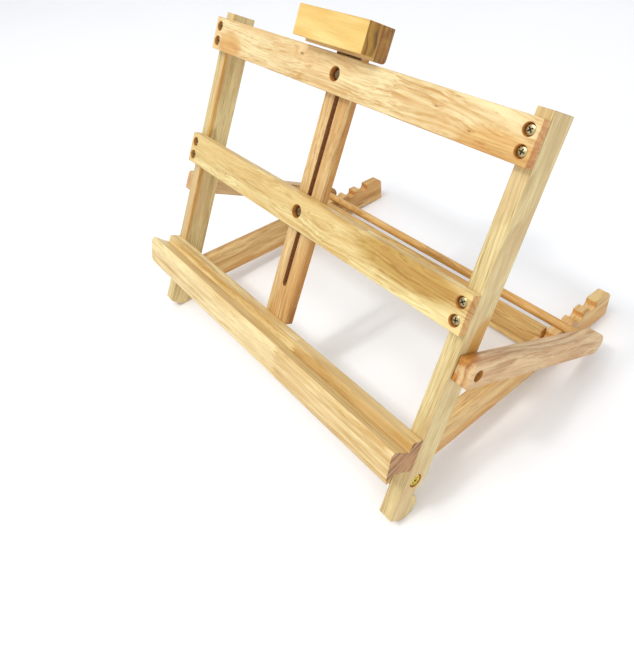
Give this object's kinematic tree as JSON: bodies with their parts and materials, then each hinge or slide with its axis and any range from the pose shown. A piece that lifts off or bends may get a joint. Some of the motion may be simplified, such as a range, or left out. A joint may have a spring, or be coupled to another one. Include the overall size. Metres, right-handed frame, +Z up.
{
  "type": "table easel",
  "caption": "Wooden table easel: leaning frame with a front tray, a sliding mast with a clamp block, and a prop whose rod rests in a notched base.",
  "frame": {"origin": "on the floor, under the middle of the easel's box: midway between the arms, and halfway from the front edge of the feet to the rear ends of the base rails", "axes": "+X to the right seen from the front, +Y to the back, +Z up"},
  "size_m": [0.5268, 0.4155, 0.417],
  "materials": {
    "pine_front": "fine sanded, clear matt oil",
    "pine_post": "fine sanded, clear matt oil",
    "pine_arm": "fine sanded, clear matt oil",
    "pine_base": "fine sanded, clear matt oil",
    "pine_dark": "sanded dowel and board, clear matt oil",
    "brass": "yellow passivated screws",
    "steel": "zinc plated"
  },
  "bodies": {
    "base": {"base_rail_left": "pine_base", "base_rail_right": "pine_base", "crossbar": "pine_dark", "crossbar_screws": "steel", "foot_pivot_screws": "brass"},
    "frame": {"post_left": "pine_post", "post_right": "pine_post", "upper_rail": "pine_front", "lower_rail": "pine_front", "tray": "pine_front", "rail_screws": "brass", "tray_screws": "steel", "mast_bolts": "steel", "mast_washers": "steel", "arm_pivot_screws": "steel"},
    "prop": {"arm_left": "pine_arm", "arm_right": "pine_arm", "rod": "pine_dark"},
    "mast": {"mast": "pine_base", "clamp_head": "pine_front", "clamp_backer": "pine_base", "clamp_screws": "steel"},
    "nut_upper": {"wing_nut_upper": "steel"},
    "nut_lower": {"wing_nut_lower": "steel"}
  },
  "joints": [
    {"name": "frame_tilt", "type": "hinge", "parent": "base", "child": "frame", "pos_m": [0, -0.1709, 0.0476], "axis": [1, 0, 0], "range_deg": [-43.5, 0]},
    {"name": "prop_swing", "type": "hinge", "parent": "frame", "child": "prop", "pos_m": [0, -0.1039, 0.16365], "axis": [1, 0, 0], "range_deg": [0, 87]},
    {"name": "mast_slide", "type": "slide", "parent": "frame", "child": "mast", "axis": [0, 0.5, 0.866], "range_m": [0, 0.086]},
    {"name": "wing_nut_upper_turn", "type": "hinge", "parent": "frame", "child": "nut_upper", "pos_m": [0, -0.00298, 0.34325], "axis": [0, 0.866, -0.5], "continuous": true},
    {"name": "wing_nut_lower_turn", "type": "hinge", "parent": "frame", "child": "nut_lower", "pos_m": [0, -0.07923, 0.21118], "axis": [0, 0.866, -0.5], "continuous": true}
  ],
  "couplings": [
    {"joint": "prop_swing", "follows": "frame_tilt", "ratio": -2}
  ]
}
